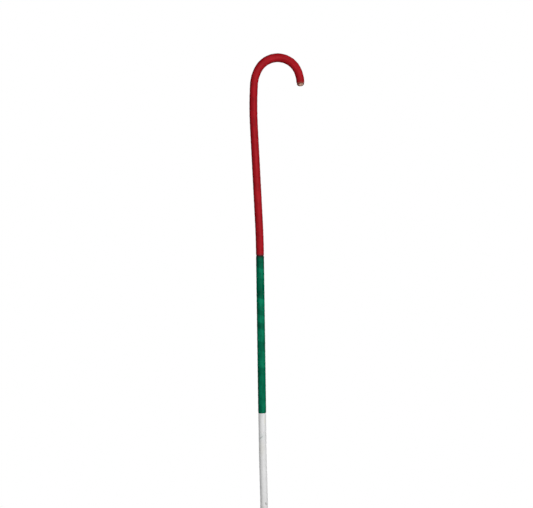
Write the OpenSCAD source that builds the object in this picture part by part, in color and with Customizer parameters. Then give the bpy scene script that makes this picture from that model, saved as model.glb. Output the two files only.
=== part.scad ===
// Crook-handled cane: a steam-bent wooden rod wrapped in white, green and red tape, with a
// push-on rubber ferrule. Sizes are in millimetres and degrees.
//
// The origin is the middle of the ferrule's tread. +Z runs up the straight lower shaft, and the
// crook lies in the XZ plane and opens toward +X.

/* [Rod] */
// Diameter of the wooden rod
rod_d = 16; // [14:0.5:20]
// Height of the colour change from green to red, where the straight lower shaft ends
shaft_h = 711; // [600:1:800]
// Radius of the slow bend from the lower shaft into the leaning neck
lean_r = 2090; // [1200:10:3000]
// How far the neck leans away from the crook's opening
lean_angle = 2.2; // [0.5:0.1:3]
// Length of the straight part of the neck
neck_h = 206; // [150:1:250]

/* [Crook] */
// Radius of the shoulder, the first and slowest part of the crook
shoulder_r = 885; // [600:5:1200]
// Angle that the shoulder turns through
shoulder_angle = 6; // [4:0.5:8]
// Radius of the rise into the arch
rise_r = 82; // [75:0.5:95]
// Angle that the rise turns through
rise_angle = 25.5; // [20:0.5:30]
// Radius of the arch at the top of the crook
arch_r = 48.7; // [44:0.1:56]
// Angle that the arch turns through
arch_angle = 129; // [120:0.5:135]
// Radius of the drop from the arch to the end of the crook
drop_r = 74; // [70:0.5:90]
// Angle that the drop turns through
drop_angle = 20; // [15:0.5:25]
// Length of bare wood past the tape, at the end of the crook
nose_h = 6; // [4.5:0.5:10]
// Radius of the rounded rim of the bare end
nose_rim_r = 4; // [1:0.25:4]

/* [Tape] */
// Height of the colour change from white to green
white_top = 362; // [250:1:450]
// Thickness of the white tape
white_wall = 0.45; // [0.2:0.05:0.6]
// Thickness of the green tape
green_wall = 0.55; // [0.3:0.05:0.8]
// Thickness of the red tape
red_wall = 0.5; // [0.3:0.05:0.8]
// Width of the bare groove between the green and the red tape
groove_w = 1.5; // [1:0.5:5]

/* [Ferrule] */
// Height of the rubber ferrule
ferrule_h = 44; // [40:1:50]
// Diameter of its foot
foot_d = 34; // [32:1:40]
// Height of the foot's straight side
foot_h = 7; // [5:0.5:8]
// Diameter of the rounded bead around its mouth
bead_d = 25; // [24:0.5:28]
// Number of flexing ribs around its body
rib_count = 3; // [0:1:4]
// Thickness of rubber under the steel washer
sole_h = 6.5; // [5.5:0.5:8]
// Depth of the tread grooves
tread_depth = 2.5; // [1.5:0.5:3]
// Width of each tread groove, and of each ring between two grooves
tread_w = 2.25; // [2:0.25:2.5]
// Diameter of the steel washer
washer_d = 20; // [19.5:0.5:21]
// Thickness of the steel washer
washer_h = 1.5; // [1:0.25:2]

/* [Hidden] */
$fn = 96;
// Line of adhesive between the rod and its tape
glue_gap = 0.05;
// Clearance all round between parts that fit one in the other
fit_gap = 0.05;
// Rounding of the ferrule's outer edges
edge_r = 1.5;
// Radius of each flexing rib's rounded crest, and the pitch of the ribs
rib_r = 0.8;
rib_pitch = 5;
// Bevel around the foot of the rod
rod_bevel = 1.5;
// Two lengths of rod meet in a hairline collar that is this high and stands this proud
collar_h = 0.4;
collar_t = 0.01;
tape_bore_d = rod_d + 2 * glue_gap;
socket_d = tape_bore_d + 2 * white_wall + 2 * fit_gap;
washer_top = sole_h + fit_gap + washer_h;
rod_z = washer_top + fit_gap;
bend_z = shaft_h + groove_w / 2;
// The curve above the lower shaft, length by length: the radius and the turn of each arc, turning
// toward +X where the turn is positive, or 0 and the length of a straight run
CROOK = [
    [lean_r, -lean_angle],
    [0, neck_h],
    [shoulder_r, shoulder_angle],
    [rise_r, rise_angle],
    [arch_r, arch_angle],
    [drop_r, drop_angle]
];

// Cross-section of a rod, or of a sleeve when it has a bore.
module section(outer_d, bore_d) {
    difference() {
        circle(d = outer_d);
        if (bore_d > 0) circle(d = bore_d);
    }
}

// Straight rod or sleeve standing on the XY plane.
module straight(length, outer_d, bore_d) {
    linear_extrude(length) section(outer_d, bore_d);
}

// Rod or sleeve that leaves the origin along +Z and turns toward +X, or toward -X if the turn is
// negative.
module arc(radius, turn, outer_d, bore_d) {
    translate([sign(turn) * radius, 0, 0])
        rotate([90, 0, turn > 0 ? 180 : 0])
            rotate_extrude(angle = abs(turn)) translate([radius, 0]) section(outer_d, bore_d);
}

// Thin collar, centred on the XY plane, that makes one solid of the two lengths that meet there.
module collar(outer_d, bore_d) {
    translate([0, 0, -collar_h / 2])
        straight(collar_h, outer_d + 2 * collar_t, bore_d - 2 * collar_t);
}

// Follows the path from length i to its end, and puts the children on the end.
module sweep(path, outer_d, bore_d = 0, i = 0) {
    if (i == len(path)) {
        children();
    } else {
        radius = path[i][0];
        turn = radius > 0 ? path[i][1] : 0;
        run = radius > 0 ? radius * sin(abs(turn)) : path[i][1];
        offset_x = sign(turn) * radius * (1 - cos(turn));
        if (i > 0) collar(outer_d, bore_d);
        if (radius > 0) arc(radius, turn, outer_d, bore_d);
        else straight(run, outer_d, bore_d);
        translate([offset_x, 0, run])
            rotate([0, turn, 0])
                sweep(path, outer_d, bore_d, i + 1) children();
    }
}

// Bare end of the crook, with a rounded rim.
module nose() {
    flat_r = rod_d / 2 - nose_rim_r;
    translate([0, 0, -collar_h / 2]) cylinder(d = rod_d + 2 * collar_t, h = collar_h);
    rotate_extrude() {
        square([flat_r, nose_h]);
        square([rod_d / 2, nose_h - nose_rim_r]);
        intersection() {
            translate([flat_r, nose_h - nose_rim_r]) circle(r = nose_rim_r);
            square([rod_d / 2, nose_h]);
        }
    }
}

// One steam-bent rod, bevelled where it seats in the ferrule.
module wooden_rod() {
    shaft_z = rod_z + rod_bevel;
    shaft = [0, bend_z - shaft_z];
    color("burlywood") {
        translate([0, 0, rod_z]) cylinder(d1 = rod_d - 2 * rod_bevel, d2 = rod_d, h = rod_bevel);
        translate([0, 0, shaft_z]) sweep(concat([shaft], CROOK), rod_d) nose();
    }
}

// Red sleeve over the neck and the crook.
module red_tape() {
    color("firebrick")
        translate([0, 0, bend_z]) sweep(CROOK, tape_bore_d + 2 * red_wall, tape_bore_d);
}

// Green sleeve over the middle of the shaft.
module green_tape() {
    color("darkgreen")
        translate([0, 0, white_top])
            straight(shaft_h - groove_w / 2 - white_top, tape_bore_d + 2 * green_wall, tape_bore_d);
}

// White sleeve down to the foot of the rod.
module white_tape() {
    start_z = rod_z + 2 * rod_bevel;
    color("whitesmoke")
        translate([0, 0, start_z])
            straight(white_top - fit_gap - start_z, tape_bore_d + 2 * white_wall, tape_bore_d);
}

// Half profile of the ferrule's outside: a foot, a tapered body with ribs and a bead around the mouth.
module ferrule_profile() {
    body_low = [foot_d / 2 - 2 * edge_r, foot_h + edge_r];
    body_high = [bead_d / 2 - edge_r, ferrule_h - edge_r];
    square([foot_d / 2 - edge_r, foot_h]);
    translate([0, edge_r]) square([foot_d / 2, foot_h - 2 * edge_r]);
    for (z = [edge_r, foot_h - edge_r])
        translate([foot_d / 2 - edge_r, z]) circle(r = edge_r);
    polygon([
        [0, foot_h - edge_r],
        [foot_d / 2 - edge_r, foot_h - edge_r],
        body_low,
        body_high,
        [0, body_high.y]
    ]);
    for (i = [1:1:rib_count])
        translate(body_low + (body_high - body_low) * i * rib_pitch / (body_high.y - body_low.y))
            circle(r = rib_r);
    translate([0, ferrule_h - 2 * edge_r]) square([body_high.x, 2 * edge_r]);
    translate(body_high) circle(r = edge_r);
}

// Rubber cup with a socket for the rod, a pocket for the washer and rings of tread.
module rubber_ferrule() {
    grooves = floor((foot_d / 2 - edge_r) / (2 * tread_w));
    color("dimgray")
        difference() {
            rotate_extrude() ferrule_profile();
            translate([0, 0, sole_h]) cylinder(d = socket_d, h = ferrule_h);
            translate([0, 0, sole_h]) cylinder(d = washer_d + 2 * fit_gap, h = washer_h + 2 * fit_gap);
            for (i = [1:grooves])
                translate([0, 0, -tread_depth]) rotate_extrude()
                    translate([(2 * i - 1) * tread_w, 0]) square([tread_w, 2 * tread_depth]);
        }
}

// Steel disc that stops the rod from cutting through the sole.
module ferrule_washer() {
    color("silver") translate([0, 0, sole_h + fit_gap]) cylinder(d = washer_d, h = washer_h);
}

wooden_rod();
red_tape();
green_tape();
white_tape();
rubber_ferrule();
ferrule_washer();
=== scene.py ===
"""The looks of the crook-handled cane: wound tape, bent wood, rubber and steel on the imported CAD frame.

Lengths are in metres. Each wound or bent piece is first built straight, with its axis on Z and its
distance along the rod as z, and then bent onto the rod's centreline.
"""
import math

import bmesh
import bpy
import numpy as np
from mathutils import Matrix, Vector, noise

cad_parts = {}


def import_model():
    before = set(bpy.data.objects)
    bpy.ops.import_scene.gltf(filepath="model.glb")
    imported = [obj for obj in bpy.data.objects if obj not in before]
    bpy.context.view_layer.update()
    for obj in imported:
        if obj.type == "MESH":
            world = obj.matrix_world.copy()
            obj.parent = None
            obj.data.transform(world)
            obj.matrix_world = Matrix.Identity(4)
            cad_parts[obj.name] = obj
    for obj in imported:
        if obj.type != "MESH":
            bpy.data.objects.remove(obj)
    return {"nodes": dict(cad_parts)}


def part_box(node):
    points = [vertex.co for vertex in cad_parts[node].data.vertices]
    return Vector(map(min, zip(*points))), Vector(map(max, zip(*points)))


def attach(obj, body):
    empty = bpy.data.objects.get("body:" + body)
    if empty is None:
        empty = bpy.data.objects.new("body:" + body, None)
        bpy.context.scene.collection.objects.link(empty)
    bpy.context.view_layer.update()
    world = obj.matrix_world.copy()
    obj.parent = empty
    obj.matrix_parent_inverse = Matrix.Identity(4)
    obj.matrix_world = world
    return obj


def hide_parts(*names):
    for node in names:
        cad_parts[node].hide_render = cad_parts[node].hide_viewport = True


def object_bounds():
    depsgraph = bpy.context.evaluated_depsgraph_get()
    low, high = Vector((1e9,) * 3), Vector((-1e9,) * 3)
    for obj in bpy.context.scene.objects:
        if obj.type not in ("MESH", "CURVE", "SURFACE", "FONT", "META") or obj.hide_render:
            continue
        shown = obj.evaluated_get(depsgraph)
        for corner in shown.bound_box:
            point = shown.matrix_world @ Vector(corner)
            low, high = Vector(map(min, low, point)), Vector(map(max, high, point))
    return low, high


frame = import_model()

MM = 0.001
FULL_TURN = 2 * math.pi
cad_low, cad_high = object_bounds()
red_low, red_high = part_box("red_tape")
green_low, green_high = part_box("green_tape")
white_low, white_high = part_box("white_tape")
rod_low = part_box("wooden_rod")[0]
ferrule_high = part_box("rubber_ferrule")[1]
washer_low, washer_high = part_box("ferrule_washer")

# The rod's centreline above its straight shaft: the radius of each arc and the degrees it turns toward
# +X, or 0 and the length of a straight run.
CROOK = (
    (2.090, -2.2),
    (0.0, 0.206),
    (0.885, 6.0),
    (0.082, 25.5),
    (0.0487, 129.0),
    (0.074, 20.0),
)
CROOK_TOLERANCE = 0.5 * MM
ROD_R = 8 * MM
# The line of adhesive between the rod and its tape, and the clearance inside the ferrule.
GLUE_GAP = 0.05 * MM
FIT_GAP = 0.05 * MM
# The shaft isn't quite straight: between these heights it bows this far toward +X.
BOW = 1.4 * MM
BOW_FROM, BOW_PEAK, BOW_TO = 0.05, 0.15, 0.29


# ---------------------------------------------------------------- centreline


def advance(x, z, heading, curvature, length):
    """The end of a length of the centreline that starts at x, z with that heading."""
    if curvature == 0:
        return x + length * np.sin(heading), z + length * np.cos(heading), heading + 0 * length
    end = heading + curvature * length
    x = x + (np.cos(heading) - np.cos(end)) / curvature
    z = z + (np.sin(end) - np.sin(heading)) / curvature
    return x, z, end


def centreline():
    """Each length of the centreline as (distance of its start, x, z, heading, curvature)."""
    rows = [(0.0, 0.0, 0.0, 0.0, 0.0)]
    start, x, z, heading = red_low.z, 0.0, red_low.z, 0.0
    for radius, turn in CROOK:
        curvature = math.copysign(1 / radius, turn) if radius else 0.0
        length = radius * math.radians(abs(turn)) if radius else turn
        rows.append((start, x, z, heading, curvature))
        x, z, heading = advance(x, z, heading, curvature, length)
        start += length
    rows.append((start, float(x), float(z), float(heading), 0.0))
    return rows


PATH = centreline()
TAPE_END = PATH[-1][0]


def along(distance):
    """Place, heading and curvature of the centreline at each distance from the ground."""
    x, z = np.zeros_like(distance), np.array(distance)
    heading, curvature = np.zeros_like(distance), np.zeros_like(distance)
    for start, x0, z0, heading0, curvature0 in PATH:
        here = distance >= start
        ends = advance(x0, z0, heading0, curvature0, distance[here] - start)
        x[here], z[here], heading[here] = ends
        curvature[here] = curvature0
    return x, z, heading, curvature


def ramp(value, start, end):
    """0 at start, 1 at end, and smooth between. The start may be the larger of the two."""
    t = np.clip((value - start) / (end - start), 0, 1)
    return t * t * (3 - 2 * t)


def bend(points):
    """Points of a straight piece, moved onto the centreline."""
    across, deep, distance = points.T
    x, z, heading, _ = along(distance)
    x = x + BOW * ramp(distance, BOW_FROM, BOW_PEAK) * ramp(distance, BOW_TO, BOW_PEAK)
    return np.stack((x + across * np.cos(heading), deep, z - across * np.sin(heading)), axis=1)


def check_crook():
    """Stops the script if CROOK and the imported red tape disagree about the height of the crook."""
    distance = np.linspace(red_low.z, TAPE_END, 999)
    outside = np.stack((0 * distance - red_high.y, 0 * distance, distance), axis=1)
    top = max(bend(outside)[:, 2])
    if abs(top - red_high.z) > CROOK_TOLERANCE:
        raise SystemExit("CROOK doesn't follow the CAD: its top is at %.4f, not %.4f" % (top, red_high.z))


# ---------------------------------------------------------------- meshes

# Points closer than this are one.
MERGE = 0.001 * MM
# Points round the rod.
COLUMNS = 64


def noise_at(points, size, seed):
    """Smooth noise from -1 to 1 at each point, with features of about that size."""
    shift = Vector((seed * 7.13, seed * 3.71, seed * 5.57))
    return np.array([noise.noise(Vector(p) / size + shift) for p in points])


def new_object(name, points, faces):
    """A mesh object in the scene, from rows of points and lists of their numbers."""
    mesh = bpy.data.meshes.new(name)
    mesh.from_pydata(points.tolist(), [], faces)
    mesh.update()
    made = bpy.data.objects.new(name, mesh)
    bpy.context.scene.collection.objects.link(made)
    return made


def coordinates(mesh):
    """The place of each vertex, as rows of x, y and z."""
    flat = np.zeros(len(mesh.vertices) * 3)
    mesh.vertices.foreach_get("co", flat)
    return flat.reshape(-1, 3)


def store(mesh, name, values):
    """Keeps a number or a vector with each vertex, for the materials to read."""
    kind, key = ("FLOAT_VECTOR", "vector") if values.ndim == 2 else ("FLOAT", "value")
    layer = mesh.attributes.new(name, kind, "POINT")
    layer.data.foreach_set(key, values.astype(np.float32).ravel())


def clean(mesh):
    """Merges doubled points, drops collapsed faces and turns every face outward."""
    work = bmesh.new()
    work.from_mesh(mesh)
    bmesh.ops.remove_doubles(work, verts=work.verts, dist=MERGE)
    bmesh.ops.dissolve_degenerate(work, edges=work.edges, dist=MERGE)
    bmesh.ops.recalc_face_normals(work, faces=work.faces)
    work.to_mesh(mesh)
    work.free()


def finish_piece(piece, shader, body, node, sharp_angle):
    """Cleans and shades a piece, gives it its material and lets it stand for a CAD node on a body."""
    mesh = piece.data
    clean(mesh)
    mesh.shade_smooth()
    mesh.set_sharp_from_angle(angle=math.radians(sharp_angle))
    mesh.materials.append(shader.material)
    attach(piece, body)
    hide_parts(node)


def tube(radius, angle, height):
    """Points round the Z axis, in a row of columns for each height."""
    return np.stack((np.cos(angle) * radius + 0 * height, np.sin(angle) * radius + 0 * height, height), 2)


def revolve(name, profile, columns):
    """Closed solid turned about Z, from (radius, height) rows that start and end on the axis."""
    angles = np.arange(columns) * FULL_TURN / columns
    rings = [np.array([[0, 0, profile[0][1]]])]
    for radius, height in profile[1:-1]:
        ring = np.stack((radius * np.cos(angles), radius * np.sin(angles), 0 * angles + height), axis=1)
        rings.append(ring)
    rings.append(np.array([[0, 0, profile[-1][1]]]))
    points = np.concatenate(rings)
    last, inner_rows = len(points) - 1, len(profile) - 2
    faces = []
    for i in range(columns):
        j = (i + 1) % columns
        faces.append((0, 1 + j, 1 + i))
        for row in range(inner_rows - 1):
            a, b = 1 + row * columns, 1 + (row + 1) * columns
            faces.append((a + i, a + j, b + j, b + i))
        a = 1 + (inner_rows - 1) * columns
        faces.append((a + i, a + j, last))
    return new_object(name, points, faces)


def arc_profile(centre, radius, start, end, steps=8):
    """Points of an arc in the profile plane, from one angle to another, in degrees."""
    turns = np.radians(np.linspace(start, end, steps + 1))
    return [(centre[0] + radius * math.cos(t), centre[1] + radius * math.sin(t)) for t in turns]


# ---------------------------------------------------------------- tape

BORE_R = ROD_R + GLUE_GAP
BORE_STEP = 3 * MM
# The rows of points across a turn of tape, as shares of the width that shows. The first row is the foot
# of the step up from the turn below.
TURN_ROWS = np.concatenate(([0.0, 0.012, 0.035], np.linspace(0.08, 0.96, 18), [0.985]))
# The front of the rod, as a share of a turn from +X.
FRONT = 0.75
# How far, in turns, the winding runs ahead at +X and behind at -X, which makes its laps steeper in front.
UNEVEN = 0.06
# How much of a turn's width shows on average, and how far its edges stray from that.
PITCH = 14.5 * MM
PITCH_JITTER = 1.6 * MM
# Turns past each end of a tape, which are cut away.
EXTRA_TURNS = 3
# Share of the tone that drifts with height and doesn't follow the strip.
TONE_BLUR = 0.25
# Thickness of the strip, the share of each turn that lies on the one below, and the share over which it
# drops off that one.
STRIP = 0.16 * MM
LAP_SHARE = 0.24
LAP_DROP = 0.09
# The raised cut edge of each turn: its place and half width as a share of the turn, and its height.
LIP_AT = 0.03
LIP = 0.03 * MM
# The ends of a tape are ragged by up to this much. The size of the rags is in units of the rod's radius.
END_RAGGED, END_RAGGED_SIZE = 0.5 * MM, 0.5
# How much thinner a tape is at its very ends, and the length over which it thins.
END_THINNING, END_TAPER = 0.25 * MM, 1.2 * MM
# Size and height of the lumps, and of the finer unevenness, all over the tape.
LUMP_SIZE, LUMP = 9 * MM, 0.05 * MM
FINE_SIZE, FINE = 3.2 * MM, 0.02 * MM
# Size of the puckers in the crook's hollow, and the curvatures in 1/m where they begin and are full.
PUCKER_SIZE = 2.4 * MM
PUCKER_FROM, PUCKER_FULL = 8, 20
# A tape keeps to its CAD size in the ferrule's mouth. It begins to stand proud of that at the first
# height and does so fully at the second.
PROUD_FROM, PROUD_FULL = ferrule_high.z + 2 * MM, ferrule_high.z + 10 * MM


class Tape:
    """One colour of tape on the rod: its ends, how it is wound, the tone of each turn and how it rumples."""

    def __init__(self, start, end, outer_r, seed, hand, turns=None, proud=0.0, pucker=0.0, swell=0.0):
        self.start = start
        self.end = end
        self.outer_r = outer_r
        self.seed = seed
        self.hand = hand
        self.proud = proud
        self.pucker = pucker
        self.swell = swell
        if turns is None:
            chance = np.random.default_rng(seed)
            count = round((end - start) / PITCH)
            edges = np.linspace(0, end - start, count + 1)
            edges[1:-1] += chance.uniform(-PITCH_JITTER, PITCH_JITTER, count - 1)
            tones = chance.uniform(-1, 1, count)
        else:
            widths, tones = np.array(turns).T
            edges = np.concatenate(([0], np.cumsum(widths) / np.sum(widths))) * (end - start)
        spare = np.arange(1, EXTRA_TURNS + 1) * PITCH
        self.edges = np.concatenate((start - spare[::-1], start + edges, end + spare))
        self.tones = np.concatenate(([tones[0]] * EXTRA_TURNS, tones, [tones[-1]] * (EXTRA_TURNS + 1)))

    def edge_at(self, turn):
        """Distance along the rod of the strip's lower edge, after that many turns from the front."""
        return np.interp(turn, np.arange(len(self.edges)), self.edges)

    def tone_at(self, turn, height):
        """The strip's tone: it holds over the front of each turn, changes behind and drifts with height."""
        whole = np.floor(turn)
        eased = whole + ramp(turn - whole, 0.3, 0.7)
        stepped = np.interp(eased, np.arange(len(self.tones)), self.tones)
        middles = (self.edges[:-1] + self.edges[1:]) / 2
        blurred = np.interp(height, middles, self.tones[: len(middles)])
        return (1 - TONE_BLUR) * stepped + TONE_BLUR * blurred


def wound_faces(rows, shift):
    """Faces of a helical grid: one turn round the rod, it joins the rows that many further on."""
    faces = []
    for row in range(rows - 1):
        for i in range(COLUMNS - 1):
            a, d = row * COLUMNS + i, (row + 1) * COLUMNS + i
            faces.append((a, a + 1, d + 1, d))
        joined = row + shift
        if 0 <= joined and joined + 1 < rows:
            a, d = row * COLUMNS + COLUMNS - 1, (row + 1) * COLUMNS + COLUMNS - 1
            faces.append((a, joined * COLUMNS, (joined + 1) * COLUMNS, d))
    return faces


def bore_faces(first, total):
    """Faces of the bore, whose rows of points run from the first one up to the total."""
    faces = []
    for low in range(first, total - COLUMNS, COLUMNS):
        high = low + COLUMNS
        for i in range(COLUMNS):
            j = (i + 1) % COLUMNS
            faces.append((high + i, high + j, low + j, low + i))
    return faces


def end_faces(first, total):
    """Faces between the winding and the bore at both ends. The bore's points start at the first."""
    last_outer, last_bore = first - COLUMNS, total - COLUMNS
    faces = []
    for i in range(COLUMNS):
        j = (i + 1) % COLUMNS
        faces.append((i, first + i, first + j, j))
        faces.append((last_outer + i, last_outer + j, last_bore + j, last_bore + i))
    return faces


def winding(tape):
    """The winding's grid: angle round the rod, height, share across the turn and turn along the strip."""
    turns = len(tape.edges) - 2
    turn = np.repeat(np.arange(turns), len(TURN_ROWS))[:, None]
    across = np.tile(TURN_ROWS, turns)[:, None]
    share = np.arange(COLUMNS)[None, :] / COLUMNS
    from_front = share - FRONT + UNEVEN * np.sin(FULL_TURN * (share - FRONT))
    strip_turn = np.clip(turn + tape.hand * from_front, 0, turns)
    low = tape.edge_at(strip_turn)
    height = low + across * (tape.edge_at(strip_turn + 1) - low)
    return FULL_TURN * share, height, across, strip_turn


def laps(across, inside):
    """Height of the laps: each turn steps up where it lies on the one below, with a raised cut edge."""
    doubled = 1 - ramp(across, LAP_SHARE, LAP_SHARE + LAP_DROP)
    lip = np.exp(-(((across - LIP_AT) / LIP_AT) ** 2))
    step = np.where(across > 0, STRIP * (doubled - 0.5) + LIP * lip, -STRIP / 2)
    return np.where(inside, step, 0)


def puckers(tape, angle, height, points):
    """Folds on the hollow side of the tape, where the rod bends sharply."""
    curvature = along(height.ravel())[3].reshape(height.shape)
    hollow = np.clip(np.cos(angle) * np.sign(curvature), 0, 1) ** 2
    hollow = hollow * ramp(np.abs(curvature), PUCKER_FROM, PUCKER_FULL)
    ripple = noise_at(points * (0.3, 0.3, 1), PUCKER_SIZE, tape.seed + 3).reshape(height.shape)
    return tape.pucker * hollow * ripple


def tape_radius(tape, angle, height, across, inside):
    """How far the tape's surface is from the rod's axis, with its laps, lumps, puckers and thin ends."""
    points = tube(tape.outer_r, angle, height).reshape(-1, 3)
    lumps = noise_at(points * (1, 1, 0.5), LUMP_SIZE, tape.seed + 1).reshape(height.shape)
    fine = noise_at(points * (1, 1, 0.35), FINE_SIZE, tape.seed + 2).reshape(height.shape)
    proud = tape.proud * ramp(height, PROUD_FROM, PROUD_FULL)
    radius = tape.outer_r + proud + laps(across, inside) + LUMP * lumps + FINE * fine
    from_end = np.minimum(height - tape.start, tape.end - height)
    thinning = END_THINNING * (1 - ramp(from_end, 0, END_TAPER))
    return radius + puckers(tape, angle, height, points) - thinning


def wrap_map(mesh, heights):
    """A texture map that runs once round the rod and in metres along it."""
    corner_point = np.zeros(len(mesh.loops), int)
    mesh.loops.foreach_get("vertex_index", corner_point)
    u = (corner_point % COLUMNS) / COLUMNS
    # In a face that closes the ring, the far side is at 1 and not at 0.
    sides = u.reshape(-1, 4)
    closing = sides.max(1) - sides.min(1) > 0.5
    sides[closing] = np.where(sides[closing] == 0, 1.0, sides[closing])
    wrap = mesh.uv_layers.new(name="Wrap")
    wrap.data.foreach_set("uv", np.stack((u, heights[corner_point]), 1).astype(np.float32).ravel())


def tape_bore(tape, angle, height):
    """Points of the bore, row by row, which starts and ends as the winding does."""
    rows = int((tape.end - tape.start) / BORE_STEP)
    bore_height = np.linspace(tape.start, tape.end, rows)[:, None] + 0 * angle
    bore_height[0], bore_height[-1] = height[0], height[-1]
    return tube(BORE_R, angle, bore_height).reshape(-1, 3)


def wound_sleeve(name, tape):
    """A strip wound round the rod, each turn lapping the one below, as a closed sleeve."""
    angle, height, across, strip_turn = winding(tape)
    rim = np.stack((np.cos(angle[0]), np.sin(angle[0]), 0 * angle[0]), axis=1)
    ragged = np.abs(END_RAGGED * noise_at(rim, END_RAGGED_SIZE, tape.seed))
    inside = (height > tape.start + ragged) & (height < tape.end - ragged)
    height = np.clip(height, tape.start + ragged, tape.end - ragged)

    flat = tube(tape.outer_r, angle, height).reshape(-1, 3)
    outer = tube(tape_radius(tape, angle, height, across, inside), angle, height)
    # Round the top of the crook the covering is a little thicker in the crook's plane.
    heading = along(height.ravel())[2].reshape(height.shape)
    outer[:, :, 0] *= 1 + tape.swell * np.sin(heading) ** 2
    outer = outer.reshape(-1, 3)
    bore = tape_bore(tape, angle, height)

    first, total = len(outer), len(outer) + len(bore)
    faces = wound_faces(len(height), tape.hand * len(TURN_ROWS))
    faces += bore_faces(first, total) + end_faces(first, total)
    made = new_object(name, bend(np.concatenate((outer, bore))), faces)
    # The foot of a step belongs to the turn below. The bore and the cut ends have no laps, so they count
    # as the middle of a turn.
    lap = np.where(inside, np.where(across > 0, across, 1.0), 0.5)
    tone = tape.tone_at(strip_turn - (across == 0), height)
    bare = np.zeros(len(bore))
    store(made.data, "straight", np.concatenate((flat, bore)))
    store(made.data, "tone", np.concatenate((tone.ravel(), bare)))
    store(made.data, "lap", np.concatenate((lap.ravel(), bare + 0.5)))
    wrap_map(made.data, np.concatenate((outer[:, 2], bore[:, 2])))
    return made


# ---------------------------------------------------------------- materials


class Shader:
    """A node material with one Principled shader, and short ways to add to it."""

    def __init__(self, name):
        self.material = bpy.data.materials.new(name)
        self.material.use_nodes = True
        self.tree = self.material.node_tree
        self.surface = self.tree.nodes["Principled BSDF"]

    def plug(self, socket, value):
        """Links another node's output to a socket, or gives it a fixed value."""
        if isinstance(value, bpy.types.NodeSocket):
            self.tree.links.new(value, socket)
        else:
            socket.default_value = value

    def node(self, kind, inputs=(), output=0, **settings):
        """Adds a node with those inputs and settings, and returns one of its outputs."""
        made = self.tree.nodes.new(kind)
        for key, value in settings.items():
            setattr(made, key, value)
        for key, value in dict(inputs).items():
            self.plug(made.inputs[key], value)
        return made.outputs[output]

    def set(self, **inputs):
        """Sets inputs of the Principled shader, named with _ for each space."""
        for key, value in inputs.items():
            self.plug(self.surface.inputs[key.replace("_", " ")], value)

    def attribute(self, name, output="Fac"):
        return self.node("ShaderNodeAttribute", output=output, attribute_name=name)

    def math(self, operation, a, b=0.0, c=0.0):
        return self.node("ShaderNodeMath", {0: a, 1: b, 2: c}, operation=operation)

    def split(self, vector):
        """The X, Y and Z of a vector."""
        parts = self.tree.nodes.new("ShaderNodeSeparateXYZ")
        self.tree.links.new(vector, parts.inputs[0])
        return parts.outputs[0], parts.outputs[1], parts.outputs[2]

    def length(self, vector):
        return self.node("ShaderNodeVectorMath", {0: vector}, output="Value", operation="LENGTH")

    def stretch(self, vector, scale):
        return self.node("ShaderNodeVectorMath", {0: vector, 1: scale}, operation="MULTIPLY")

    def from_axis(self, vector, axis):
        """Distance from a line along Z through that place."""
        offset = self.node("ShaderNodeVectorMath", {0: vector, 1: axis}, operation="SUBTRACT")
        return self.length(self.stretch(offset, (1, 1, 0)))

    def noise(self, vector, size, detail=3.0, rough=0.55, seed=0.0):
        """Noise from 0 to 1 with features of that size."""
        inputs = {"Vector": vector, "W": seed, "Scale": 1 / size, "Detail": detail, "Roughness": rough}
        return self.node("ShaderNodeTexNoise", inputs, noise_dimensions="4D")

    def band(self, value, low, high, to_low=0.0, to_high=1.0):
        """Maps low to high smoothly onto the two given values."""
        inputs = {"Value": value, 1: low, 2: high, 3: to_low, 4: to_high}
        return self.node("ShaderNodeMapRange", inputs, interpolation_type="SMOOTHSTEP")

    def mix(self, share, first, second):
        """A mix of two colours: share 0 is the first, and 1 the second."""
        made = self.tree.nodes.new("ShaderNodeMix")
        made.data_type = "RGBA"
        self.plug(made.inputs["Factor"], share)
        self.plug(made.inputs["A"], first)
        self.plug(made.inputs["B"], second)
        return made.outputs["Result"]

    def bump(self, height, distance, normal=None):
        inputs = {"Height": height, "Distance": distance, "Strength": 1.0}
        if normal is not None:
            inputs["Normal"] = normal
        return self.node("ShaderNodeBump", inputs)


def colour(red, green, blue):
    """A colour from 0 to 255 display values, as the linear values a shader takes."""
    linear = []
    for value in (red, green, blue):
        share = value / 255
        linear.append(share / 12.92 if share <= 0.04045 else ((share + 0.055) / 1.055) ** 2.4)
    return (*linear, 1.0)


# Threads across the strip's width that shows, and round the rod.
THREADS_ACROSS = 40
THREADS_ROUND = 112
# Heights of the threads, and of the rumples that are too fine for the mesh.
THREAD_HEIGHT = 0.012 * MM
RUMPLE_HEIGHT = 0.12 * MM


def weave(shader, tape):
    """Height of the cloth's threads, which run along and across the wound strip."""
    girth = FULL_TURN * tape.outer_r
    u, v, _ = shader.split(shader.node("ShaderNodeUVMap", uv_map="Wrap"))
    warp_v = shader.math("MULTIPLY", v, FULL_TURN * THREADS_ACROSS / PITCH)
    warp = shader.math("ADD", warp_v, shader.math("MULTIPLY", u, -FULL_TURN * THREADS_ACROSS * tape.hand))
    weft_v = shader.math("MULTIPLY", v, FULL_TURN * THREADS_ROUND * tape.hand * PITCH / girth**2)
    weft = shader.math("ADD", shader.math("MULTIPLY", u, FULL_TURN * THREADS_ROUND), weft_v)
    return shader.math("MULTIPLY", shader.math("SINE", warp), shader.math("SINE", weft))


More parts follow.
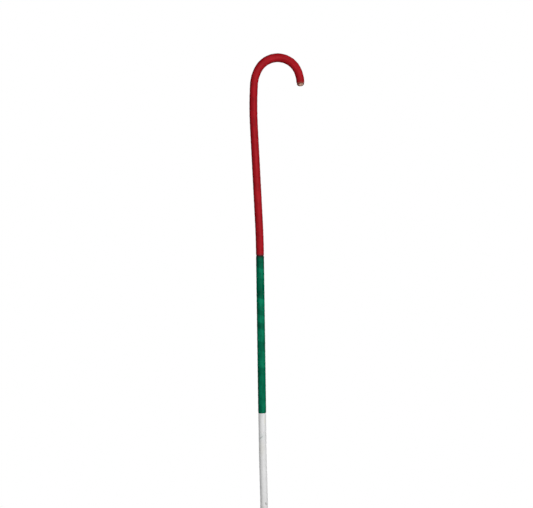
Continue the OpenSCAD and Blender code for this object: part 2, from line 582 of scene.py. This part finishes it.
def dye(shader, straight, mottle, seed, colours, tones, streaks):
    """The cloth's own colour, with a tone for each turn, mottles, and streaks along the rod."""
    dark, middle, light = colours
    streak = shader.noise(shader.stretch(straight, (1, 1, 0.1)), 3.6 * MM, 4, 0.6, seed=seed)
    level = shader.math("MULTIPLY", shader.attribute("tone"), tones)
    level = shader.math("ADD", level, shader.band(mottle, 0.25, 0.75, -0.4, 0.4))
    level = shader.math("ADD", level, shader.band(streak, 0.3, 0.7, -streaks, streaks))
    base = shader.mix(shader.band(level, -1.0, 0.0), dark, middle)
    return shader.mix(shader.band(level, 0.0, 1.0), base, light)


def lap_edge_darkening(shader, straight, seed, base, dark, lap_darkness):
    """Darkens the tape just above and just below each turn's exposed edge, more in some places than in
    others.
    """
    lap = shader.attribute("lap")
    lap_edge_colour = tuple(c * 0.3 for c in dark[:3]) + (1.0,)
    # Darker just above and just below each turn's exposed edge.
    edge = shader.math("MAXIMUM", shader.band(lap, 0.94, 0.99), shader.band(lap, 0.04, 0.01))
    patchy = shader.band(shader.noise(straight, 13 * MM, 2, 0.5, seed=seed), 0.42, 0.62)
    edge = shader.math("MULTIPLY", shader.math("MULTIPLY", edge, patchy), lap_darkness)
    return shader.mix(edge, base, lap_edge_colour)


def soiled_and_shaded_ends(shader, straight, seed, base, tape, ends):
    """Soiling, and painted shade where bands meet, with a ragged limit. Each end has whether it is the top
    one, reach, strength and colour.
    """
    for at_top, reach, strength, stain_and_shade in ends:
        end = tape.end if at_top else tape.start
        away = shader.math("ABSOLUTE", shader.math("SUBTRACT", shader.split(straight)[2], end))
        ragged = shader.noise(straight, 5 * MM, 3, 0.5, seed=seed)
        away = shader.math("ADD", away, shader.band(ragged, 0.3, 0.7, -reach / 4, reach / 4))
        soil_and_shade = shader.math("MULTIPLY", shader.band(away, 0, reach, 1, 0), strength)
        base = shader.mix(soil_and_shade, base, stain_and_shade)
    return base


def oval_marks(shader, base, tape, marks):
    """Small ragged ovals, as WHITE_MARKS lists them."""
    u, v, _ = shader.split(shader.node("ShaderNodeUVMap", uv_map="Wrap"))
    girth = FULL_TURN * tape.outer_r
    for share, height, half_length, half_width, tilt, strength, tint in marks:
        offset = shader.node("ShaderNodeCombineXYZ", {
            0: shader.math("MULTIPLY_ADD", u, girth, -girth * share),
            1: shader.math("SUBTRACT", v, height),
        })
        turned = shader.node("ShaderNodeVectorRotate", {"Vector": offset, "Angle": -math.radians(tilt)})
        reach = shader.length(shader.stretch(turned, (1 / half_length, 1 / half_width, 0)))
        ragged = shader.noise(offset, 1.5 * MM, 3, 0.6, seed=share)
        reach = shader.math("MULTIPLY_ADD", ragged, 0.5, reach)
        base = shader.mix(shader.band(reach, 0.5, 1.4, strength, 0), base, tint)
    return base


def tape_material(name, tape, colours, tones, streaks, lap_darkness, ends, shine, marks=(), nap=0.0):
    """Matt cloth tape in a dark, a middle and a light colour, darker along its lap edges, with painted shade
    in the weave's hollows, and soiling and painted shade at its ends.
    """
    shader = Shader(name)
    straight = shader.attribute("straight", "Vector")
    dark = colours[0]
    mottle = shader.noise(shader.stretch(straight, (1, 1, 0.55)), 11 * MM, 3, 0.55, seed=tape.seed)
    base = dye(shader, straight, mottle, tape.seed + 1, colours, tones, streaks)
    base = lap_edge_darkening(shader, straight, tape.seed + 5, base, dark, lap_darkness)
    speck = shader.noise(straight, 1.1 * MM, 4, 0.65, seed=tape.seed + 2)
    base = shader.mix(shader.band(speck, 0.62, 0.8, 0, 0.2), base, dark)
    threads = weave(shader, tape)
    # Painted shade in the hollows of the weave, where the threads are low.
    base = shader.mix(shader.band(threads, -1, 0.2, 0.12, 0), base, dark)
    base = soiled_and_shaded_ends(shader, straight, tape.seed + 7, base, tape, ends)
    base = oval_marks(shader, base, tape, marks)

    rumple = shader.noise(shader.stretch(straight, (1, 1, 0.3)), 2.5 * MM, 4, 0.6, seed=tape.seed + 6)
    normal = shader.bump(threads, THREAD_HEIGHT, shader.bump(rumple, RUMPLE_HEIGHT))
    shader.set(Base_Color=base, Roughness=shader.band(mottle, 0.3, 0.7, 0.52, 0.66))
    shader.set(Normal=normal, Specular_IOR_Level=shine, Sheen_Weight=nap, Sheen_Roughness=0.5)
    return shader


# The growth rings are this far apart, round a pith that lies beside the rod.
RING_PITCH = 0.9 * MM
PITH = (-9 * MM, -5 * MM, 0)
# The crook's bare end is left unstained and unshaded only round this place, a little off the axis. Its red
# stain and painted shade begin at the first distance from there and are full at the second.
CLEAN_CENTRE = (-0.7 * MM, -0.9 * MM, 0)
CLEAN_R, STAIN_AND_SHADE_R = 3.4 * MM, 5.2 * MM
# Above this soft limit the rod takes the red stain and painted shade of the crook's end, and below it the
# rod is painted dark, as shade, where it shows in the groove between two bands.
UNDER_TAPE_LIMIT = (TAPE_END - 30 * MM, TAPE_END - 25 * MM)


def bare_wood(shader, straight, grain):
    """Bentwood with growth rings and pores: its colour and the height of its surface."""
    wander = shader.noise(shader.stretch(straight, (1, 1, 0.1)), 5 * MM, 2, 0.5, seed=24)
    ring_r = shader.math("ADD", shader.from_axis(straight, PITH), shader.math("MULTIPLY", wander, 2 * MM))
    rings = shader.math("SINE", shader.math("MULTIPLY", ring_r, FULL_TURN / RING_PITCH))
    rings = shader.band(rings, 0.2, 1.0)
    pores = shader.noise(shader.stretch(straight, (1, 1, 0.1)), 0.28 * MM, 2, 0.5, seed=22)
    base = shader.mix(grain, colour(238, 188, 160), colour(254, 218, 194))
    base = shader.mix(shader.math("MULTIPLY", rings, 0.25), base, colour(200, 140, 108))
    base = shader.mix(shader.band(pores, 0.6, 0.72, 0, 0.5), base, colour(112, 74, 54))
    return base, shader.math("ADD", grain, shader.math("MULTIPLY", rings, 0.5))


def stained_and_shaded_rim(shader, straight, distance, base):
    """Red stain from the tape, and brown painted shade toward the end, on all but the middle of the crook's
    bare end.
    """
    ragged = shader.noise(straight, 3 * MM, 3, 0.5, seed=23)
    ragged = shader.math("MULTIPLY_ADD", ragged, 2.4 * MM, -1.2 * MM)
    rim = shader.math("ADD", shader.from_axis(straight, CLEAN_CENTRE), ragged)
    rim = shader.band(rim, CLEAN_R, STAIN_AND_SHADE_R)
    rim_share = shader.math("MULTIPLY", rim, shader.band(distance, *UNDER_TAPE_LIMIT))
    brown = shader.band(distance, TAPE_END + 1 * MM, TAPE_END + 7 * MM)
    # Red stain near the tape, turning to brown painted shade toward the end.
    stain_and_shade = shader.mix(brown, colour(164, 24, 28), colour(112, 48, 38))
    return shader.mix(shader.math("MULTIPLY", rim_share, 0.94), base, stain_and_shade)


def foot_grime(shader, straight, distance, base):
    """Patchy grime on the foot of the rod, which stands in the ferrule below the white tape."""
    patchy = shader.band(shader.noise(straight, 4 * MM, 4, 0.6, seed=25), 0.3, 0.7, 0.35, 0.85)
    foot = shader.band(distance, white_low.z, white_low.z + 3 * MM, 1, 0)
    return shader.mix(shader.math("MULTIPLY", foot, patchy), base, colour(104, 82, 66))


def under_tape_shade(shader, distance, base):
    """Painted shade: a dark colour on the rod under the tape, which shows in the groove between two bands.
    """
    above_foot = shader.band(distance, white_low.z + 1 * MM, white_low.z + 4 * MM)
    below_end = shader.band(distance, *UNDER_TAPE_LIMIT, 1, 0)
    return shader.mix(shader.math("MULTIPLY", above_foot, below_end), base, colour(38, 34, 28))


def wood_material():
    """The rod's wood: bare and stained at both ends, with painted shade round the crook's end, and painted
    dark, as shade, under the tape.
    """
    shader = Shader("bare_wood")
    straight = shader.attribute("straight", "Vector")
    distance = shader.split(straight)[2]
    grain = shader.noise(shader.stretch(straight, (1, 1, 0.05)), 0.8 * MM, 4, 0.6, seed=21)
    base, height = bare_wood(shader, straight, grain)
    base = stained_and_shaded_rim(shader, straight, distance, base)
    base = foot_grime(shader, straight, distance, base)
    base = under_tape_shade(shader, distance, base)
    shader.set(Base_Color=base, Roughness=shader.band(grain, 0.2, 0.8, 0.5, 0.65))
    shader.set(Normal=shader.bump(height, 0.06 * MM), Specular_IOR_Level=0.1)
    return shader


def rubber_material():
    """Moulded black rubber, chalky where it rubs the ground."""
    shader = Shader("moulded_rubber")
    place = shader.node("ShaderNodeTexCoord", output="Object")
    grain = shader.noise(place, 0.5 * MM, 3, 0.6, seed=31)
    cloud = shader.noise(place, 9 * MM, 4, 0.6, seed=32)
    base = shader.mix(shader.band(cloud, 0.35, 0.7), colour(30, 30, 31), colour(48, 47, 46))
    low = shader.band(shader.split(place)[2], 0.2 * MM, 8 * MM, 1, 0)
    scuff = shader.band(shader.noise(shader.stretch(place, (1, 1, 3)), 2.2 * MM, 4, 0.7, seed=33), 0.45, 0.7)
    dust = shader.math("MULTIPLY", low, shader.math("MULTIPLY_ADD", scuff, 0.5, 0.12))
    base = shader.mix(dust, base, colour(128, 122, 112))
    rough = shader.math("ADD", shader.band(grain, 0.2, 0.8, 0.58, 0.75), shader.math("MULTIPLY", dust, 0.2))
    shader.set(Base_Color=base, Roughness=rough)
    shader.set(Normal=shader.bump(grain, 0.05 * MM), Specular_IOR_Level=0.4)
    return shader


def steel_material():
    """Zinc-plated steel disc with a turned grain and a little rust."""
    shader = Shader("plated_steel")
    place = shader.node("ShaderNodeTexCoord", output="Object")
    turned = shader.node(
        "ShaderNodeTexWave",
        {"Vector": place, "Scale": 1500, "Distortion": 0.6, "Detail": 1},
        wave_type="RINGS",
        rings_direction="Z",
    )
    rust = shader.band(shader.noise(place, 4 * MM, 5, 0.65, seed=41), 0.58, 0.75)
    base = shader.mix(turned, colour(172, 174, 176), colour(198, 199, 200))
    base = shader.mix(rust, base, colour(122, 72, 40))
    shader.set(Base_Color=base, Metallic=shader.band(rust, 0, 1, 1.0, 0.2))
    shader.set(Roughness=shader.band(rust, 0, 1, 0.32, 0.8), Normal=shader.bump(turned, 0.01 * MM))
    return shader


# ---------------------------------------------------------------- the three bands

# How far the red and the green band stand proud of their CAD sleeves, and the white one.
PROUD = 0.35 * MM
WHITE_PROUD = 0.05 * MM
# The green band is lapped over the white one and reaches this far above it.
LIFT = 0.85 * MM
# The turns of green tape from the bottom up, which were laid on by hand: how wide each one is showing, in
# mm at the front of the rod, and its tone from -1, dark and well stuck down, to 1, faded.
GREEN_TURNS = (
    (15, 0.0), (17, 0.4), (15.5, 0.4), (15.5, 0.2), (12.5, 0.1),
    (12, -0.1), (12.5, -0.1), (12.5, 0.5), (13, 0.7), (12.5, 0.6),
    (20, -0.3), (14.5, 0.5), (14.5, 0.6), (13, -0.3), (18, 0.8),
    (9, -0.4), (15.5, 0.5), (11.5, 0.9), (15, -0.5), (15, -0.2),
    (13, -0.1), (12, 0.2), (12, 0.4), (14, -0.7), (12.5, -0.6),
)
# Small marks on the white band, the first two painted shade along a crease and one a small dark spot: place
# round the rod (0.75 is the front), height, half length, half width, tilt in degrees, strength and colour.
WHITE_MARKS = (
    (0.70, 311 * MM, 11 * MM, 9 * MM, 35, 0.35, colour(200, 209, 206)),
    (0.68, 309 * MM, 8 * MM, 1.8 * MM, 38, 0.5, colour(140, 152, 150)),
    (0.70, 285 * MM, 10 * MM, 19 * MM, 0, 0.3, colour(220, 218, 206)),
    (0.87, 346 * MM, 3.5 * MM, 9 * MM, 0, 0.35, colour(226, 224, 200)),
    (0.83, 163 * MM, 1.4 * MM, 4.5 * MM, 12, 0.85, colour(100, 100, 97)),
    (0.70, 155 * MM, 6 * MM, 5 * MM, 0, 0.35, colour(202, 212, 200)),
)


def tape_piece(name, node, tape, shader):
    """One wound tape, which stands for its plain CAD sleeve."""
    finish_piece(wound_sleeve(name, tape), shader, "cane", node, sharp_angle=50)


def red_band():
    """Red tape over the neck and the crook, puckered in the crook's hollow."""
    tape = Tape(
        red_low.z, TAPE_END, red_high.y, seed=3, hand=-1, proud=PROUD, pucker=0.12 * MM, swell=0.075,
    )
    shader = tape_material(
        "red_cloth_tape", tape, (colour(124, 12, 19), colour(158, 19, 28), colour(174, 28, 39)),
        tones=0.15, streaks=0.55, lap_darkness=0.25, shine=0.08,
        # The bottom end is darkened as painted shade beside the groove above the green band; the top end is
        # a little darker red toward the bare wood.
        ends=((False, 5 * MM, 0.7, colour(92, 42, 44)), (True, 4 * MM, 0.15, colour(104, 16, 20))),
    )
    tape_piece("red_winding", "red_tape", tape, shader)


def green_band():
    """Green tape over the middle of the shaft, every turn with a tone of its own."""
    tape = Tape(
        green_low.z + LIFT, green_high.z, green_high.y, seed=11, hand=-1, turns=GREEN_TURNS, proud=PROUD,
    )
    shader = tape_material(
        "green_cloth_tape", tape, (colour(0, 72, 52), colour(0, 98, 70), colour(8, 124, 90)),
        tones=0.85, streaks=0.4, lap_darkness=0.45, shine=0.05,
        # The top end is darkened as painted shade below the groove under the red band, and the bottom end as
        # painted shade along its edge over the white band.
        ends=((True, 6 * MM, 0.8, colour(26, 44, 36)), (False, 3 * MM, 0.4, colour(0, 50, 38))),
    )
    tape_piece("green_winding", "green_tape", tape, shader)


def white_band():
    """White tape down to the foot of the rod, dusty toward the ground."""
    tape = Tape(white_low.z, white_high.z + LIFT, white_high.y, seed=17, hand=1, proud=WHITE_PROUD)
    shader = tape_material(
        "white_cloth_tape", tape, (colour(214, 214, 213), colour(233, 233, 233), colour(241, 241, 241)),
        tones=0.15, streaks=0.3, lap_darkness=0.12, shine=0.15, nap=0.9, marks=WHITE_MARKS,
        ends=((False, 90 * MM, 0.35, colour(176, 170, 158)),),
    )
    tape_piece("white_winding", "white_tape", tape, shader)


# ---------------------------------------------------------------- rod

ROD_BEVEL = 1.5 * MM
SHAFT_ROWS, CURVE_ROWS = 36, 320
# The bare end of the crook: its length past the tape, where its rim starts to round and the rim's
# radius, the height of its domed face, and how deep and wide the dents of wear are.
BARE_LENGTH = 8 * MM
RIM_FROM = TAPE_END + 4.9 * MM
RIM_R = 2.6 * MM
DOME = 0.3 * MM
DENT, DENT_SIZE = 0.12 * MM, 5 * MM
# Share of the bare end's length that is worn off at the front. At the back none is.
SLANT = 0.75


def rod_profile():
    """Radius and height of the straight rod's surface, from its foot to the domed face."""
    shaft = np.linspace(rod_low.z + ROD_BEVEL, red_low.z, SHAFT_ROWS)
    curve = np.linspace(red_low.z, RIM_FROM, CURVE_ROWS)[1:]
    profile = [(0, rod_low.z), (ROD_R - ROD_BEVEL, rod_low.z)]
    profile += [(ROD_R, z) for z in np.concatenate((shaft, curve))]
    flat_r = ROD_R - RIM_R
    profile += arc_profile((flat_r, RIM_FROM), RIM_R, 0, 82, 12)[1:]
    rim_z = profile[-1][1]
    profile += [(flat_r * share, rim_z + DOME * (1 - share**2)) for share in (0.9, 0.7, 0.5, 0.3, 0.15)]
    return profile + [(0, rim_z + DOME)]


def rod_piece():
    """The bent rod, with a bevelled foot and a worn end that slants and is slightly domed."""
    piece = revolve("bent_rod", rod_profile(), COLUMNS)
    straight = coordinates(piece.data)
    bare = ramp(straight[:, 2], TAPE_END, TAPE_END + BARE_LENGTH)
    dents = noise_at(straight, DENT_SIZE, 8) * bare * DENT
    dents = dents / np.maximum(np.hypot(straight[:, 0], straight[:, 1]), MM)
    shaped = straight * np.stack((1 + dents, 1 + dents, 0 * dents + 1), axis=1)
    beyond = np.clip(straight[:, 2] - TAPE_END, 0, None)
    shaped[:, 2] -= beyond * SLANT * (1 - straight[:, 1] / ROD_R) / 2
    piece.data.vertices.foreach_set("co", bend(shaped).ravel())
    store(piece.data, "straight", straight)
    finish_piece(piece, wood_material(), "cane", "wooden_rod", sharp_angle=40)


# ---------------------------------------------------------------- ferrule and washer

FERRULE_COLUMNS = 180
# The foot, rounded edges, bead, ribs and tread are as in the CAD.
FOOT_R = ferrule_high.x
FOOT_H = 7 * MM
EDGE_R = 1.5 * MM
BEAD_R = 12.5 * MM
RIB_R = 0.8 * MM
RIB_PITCH = 5 * MM
RIB_COUNT = 3
TREAD_W = 2.25 * MM
TREAD_DEPTH = 2.5 * MM
TREAD_COUNT = 3
SOCKET_R = white_high.y + FIT_GAP
POCKET_R = washer_high.x + FIT_GAP
# The moulding softens the edges of the tread and the socket, and the wall meets the bead this far below
# the middle of the bead.
TREAD_BEVEL = 0.3 * MM
SOCKET_BEVEL = 0.6 * MM
NECK = 2.6 * MM
# Half width and height of the mould line.
MOULD_LINE_W, MOULD_LINE_H = 0.35 * MM, 0.14 * MM


def tread_profile():
    """The sole of the ferrule, with bevelled grooves."""
    profile = [(0, 0)]
    for groove in range(TREAD_COUNT):
        near, far = (2 * groove + 1) * TREAD_W, (2 * groove + 2) * TREAD_W
        profile += [(near - TREAD_BEVEL, 0), (near, TREAD_BEVEL)]
        profile += [(near, TREAD_DEPTH - TREAD_BEVEL), (near + TREAD_BEVEL, TREAD_DEPTH)]
        profile += [(far - TREAD_BEVEL, TREAD_DEPTH), (far, TREAD_DEPTH - TREAD_BEVEL)]
        profile += [(far, TREAD_BEVEL), (far + TREAD_BEVEL, 0)]
    return profile


def wall_profile():
    """The rounded foot, the tapered wall with its flexing ribs, and the bead round the mouth."""
    profile = arc_profile((FOOT_R - EDGE_R, EDGE_R), EDGE_R, -90, 0)
    profile += arc_profile((FOOT_R - EDGE_R, FOOT_H - EDGE_R), EDGE_R, 0, 75)
    low = np.array((FOOT_R - 2 * EDGE_R, FOOT_H + EDGE_R))
    high = np.array((BEAD_R - EDGE_R, ferrule_high.z - EDGE_R))
    slope = (high - low) / (high[1] - low[1])
    profile += [tuple(low)]
    for rib in range(1, RIB_COUNT + 1):
        profile += arc_profile(low + slope * rib * RIB_PITCH, RIB_R, -75, 75, 6)
    profile += [tuple(high - slope * NECK)]
    return profile + arc_profile(high, EDGE_R, -70, 100)


def socket_profile():
    """The socket for the rod and, below it, the pocket for the washer."""
    mouth, pocket, sole = ferrule_high.z, washer_high.z + FIT_GAP, washer_low.z - FIT_GAP
    profile = [(SOCKET_R + SOCKET_BEVEL, mouth), (SOCKET_R, mouth - SOCKET_BEVEL)]
    return profile + [(SOCKET_R, pocket), (POCKET_R, pocket), (POCKET_R, sole), (0, sole)]


def ferrule_piece():
    """The push-on ferrule, with a mould line up both sides."""
    profile = tread_profile() + wall_profile() + socket_profile()
    piece = revolve("moulded_ferrule", profile, FERRULE_COLUMNS)
    points = coordinates(piece.data)
    reach = np.hypot(points[:, 0], points[:, 1])
    on_line = np.exp(-((points[:, 1] / MOULD_LINE_W) ** 2))
    outside = (reach > SOCKET_R + MM) & (points[:, 2] > EDGE_R)
    rise = np.where(outside, MOULD_LINE_H * on_line, 0) / np.maximum(reach, MM)
    points[:, :2] *= (1 + rise)[:, None]
    piece.data.vertices.foreach_set("co", points.ravel())
    finish_piece(piece, rubber_material(), "ferrule", "rubber_ferrule", sharp_angle=38)


def washer_look():
    """The CAD washer keeps its shape and takes a plated finish."""
    washer = frame["nodes"]["ferrule_washer"]
    washer.data.materials.clear()
    washer.data.materials.append(steel_material().material)


# ---------------------------------------------------------------- studio

# The camera sees this width at this distance, and is rolled this far.
VIEW_WIDTH = 1.1833
VIEW_DISTANCE = 1.6
VIEW_ROLL = math.radians(0.804)
VIEW_X = 14.5 * MM
VIEW_Z = red_low.z + 3 * MM
SENSOR_WIDTH = 36
# Each soft box: name, place, width and height, power, and whether the cane mirrors it.
LIGHTS = (
    ("key", (0.69, -1.945, 1.1), (0.6, 1.3), 44, True),
    ("right_fill", (0.8, 2.2, 1.2), (0.8, 1.3), 22, False),
    ("left_fill", (-1.5, 1.8, 1.2), (0.8, 1.3), 32, False),
)
LIGHTS_AIM = Vector((0.02, 0, (cad_low.z + cad_high.z) / 2))
WORLD_LIGHT = 0.06
FLOOR_SIZE = 12.0
# The floor is this grey to the cane and to the camera, and fades to white between these distances.
FLOOR_GREY, FLOOR_SEEN = (0.3, 0.3, 0.3, 1), (0.9, 0.9, 0.9, 1)
FLOOR_FADE = (0.05, 0.4)


def camera():
    """A level camera in front of the cane, rolled slightly, with the lower end out of the picture."""
    lens = bpy.data.cameras.new("camera")
    lens.sensor_width = SENSOR_WIDTH
    lens.lens = SENSOR_WIDTH * VIEW_DISTANCE / VIEW_WIDTH
    made = bpy.data.objects.new("camera", lens)
    right = Vector((math.cos(VIEW_ROLL), 0, -math.sin(VIEW_ROLL)))
    up = Vector((math.sin(VIEW_ROLL), 0, math.cos(VIEW_ROLL)))
    back = Vector((0, -1, 0))
    turn = Matrix((right, up, back)).transposed().to_4x4()
    made.matrix_world = Matrix.Translation((VIEW_X, -VIEW_DISTANCE, VIEW_Z)) @ turn
    bpy.context.scene.collection.objects.link(made)
    bpy.context.scene.camera = made


def softbox(name, place, size, watts, mirrored):
    """A rectangular light that faces the middle of the cane and isn't seen itself."""
    light = bpy.data.lights.new(name, "AREA")
    light.shape = "RECTANGLE"
    light.size, light.size_y = size
    light.energy = watts
    made = bpy.data.objects.new(name, light)
    made.location = place
    made.rotation_euler = (LIGHTS_AIM - Vector(place)).to_track_quat("-Z", "Y").to_euler()
    made.visible_camera = False
    made.visible_glossy = mirrored
    bpy.context.scene.collection.objects.link(made)


def floor_material():
    """Pale floor that keeps soft contact shadows and fades to white further out."""
    shader = Shader("pale_floor")
    seen = shader.node("ShaderNodeLightPath", output="Is Camera Ray")
    base = shader.mix(seen, FLOOR_GREY, FLOOR_SEEN)
    shader.set(Base_Color=base, Roughness=0.9, Specular_IOR_Level=0.1)
    white = shader.node("ShaderNodeEmission", {"Color": (1, 1, 1, 1), "Strength": 1.0})
    away = shader.length(shader.node("ShaderNodeTexCoord", output="Object"))
    share = shader.math("MULTIPLY", shader.band(away, *FLOOR_FADE, 0.5, 1.0), seen)
    blend = shader.node("ShaderNodeMixShader", {0: share, 1: shader.surface.outputs[0], 2: white})
    shader.tree.links.new(blend, shader.tree.nodes["Material Output"].inputs["Surface"])
    return shader


def floor():
    """The floor rides with the ferrule, so that a pulled ferrule still stands on it."""
    half = FLOOR_SIZE / 2
    corners = np.array([(-half, -half, 0), (half, -half, 0), (half, half, 0), (-half, half, 0)])
    made = new_object("studio_floor", corners, [(0, 1, 2, 3)])
    made.data.materials.append(floor_material().material)
    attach(made, "ferrule")


def world():
    """White to the camera, and a dim grey to everything that it lights."""
    scene = bpy.context.scene
    scene.world = bpy.data.worlds.new("studio")
    scene.world.use_nodes = True
    tree = scene.world.node_tree
    background = tree.nodes["Background"]
    seen = tree.nodes.new("ShaderNodeLightPath").outputs["Is Camera Ray"]
    strength = tree.nodes.new("ShaderNodeMapRange")
    strength.inputs["To Min"].default_value = WORLD_LIGHT
    strength.inputs["To Max"].default_value = 1.0
    tree.links.new(seen, strength.inputs["Value"])
    tree.links.new(strength.outputs["Result"], background.inputs["Strength"])
    background.inputs["Color"].default_value = (1, 1, 1, 1)


def studio():
    """The lights, the floor, the white surroundings and the camera."""
    for settings in LIGHTS:
        softbox(*settings)
    floor()
    world()
    camera()
    bpy.context.scene.view_settings.view_transform = "Standard"


check_crook()
red_band()
green_band()
white_band()
rod_piece()
ferrule_piece()
washer_look()
studio()
